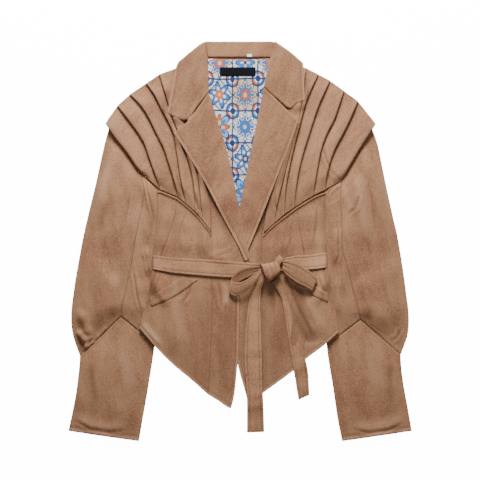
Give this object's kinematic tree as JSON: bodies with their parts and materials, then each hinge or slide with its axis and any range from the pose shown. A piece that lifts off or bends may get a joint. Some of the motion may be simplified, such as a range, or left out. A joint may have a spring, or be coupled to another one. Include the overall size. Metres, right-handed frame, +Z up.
{
  "type": "cropped belted suede jacket laid flat",
  "caption": "Cropped suede jacket laid flat, with notched lapels, pleated shoulders, flared pointed fronts, deep cuffs and a belt tied in a bow.",
  "frame": {"origin": "centre of the jacket's box at the surface that it lies on", "axes": "+Z up from the surface, +Y from hem to collar, +X towards the wearer's left sleeve"},
  "size_m": [0.6011, 0.7, 0.0239],
  "materials": {
    "suede": "napped matte tan suede",
    "lining": "printed satin lining",
    "label": "plain woven black label",
    "tab": "plain white woven tab"
  },
  "bodies": {
    "root": {"back": "suede", "back_lining": "lining", "neck_label": "label", "size_tab": "tab", "front_side_left": "suede", "front_panel_left": "suede", "front_centre_left": "suede", "front_side_right": "suede", "pocket_welt_left": "suede", "pocket_welt_right": "suede", "front_panel_right": "suede", "front_centre_right": "suede", "yoke_left": "suede", "yoke_right": "suede", "lapel_left": "suede", "lapel_right": "suede", "collar_left": "suede", "collar_right": "suede", "collar_back": "suede", "sleeve_top_left": "suede", "sleeve_under_left": "suede", "cuff_left": "suede", "sleeve_top_right": "suede", "sleeve_under_right": "suede", "cuff_right": "suede", "belt_band": "suede", "belt_knot": "suede", "bow_loop_left": "suede", "bow_loop_right": "suede", "belt_tail_left": "suede", "belt_tail_right": "suede"}
  },
  "joints": []
}
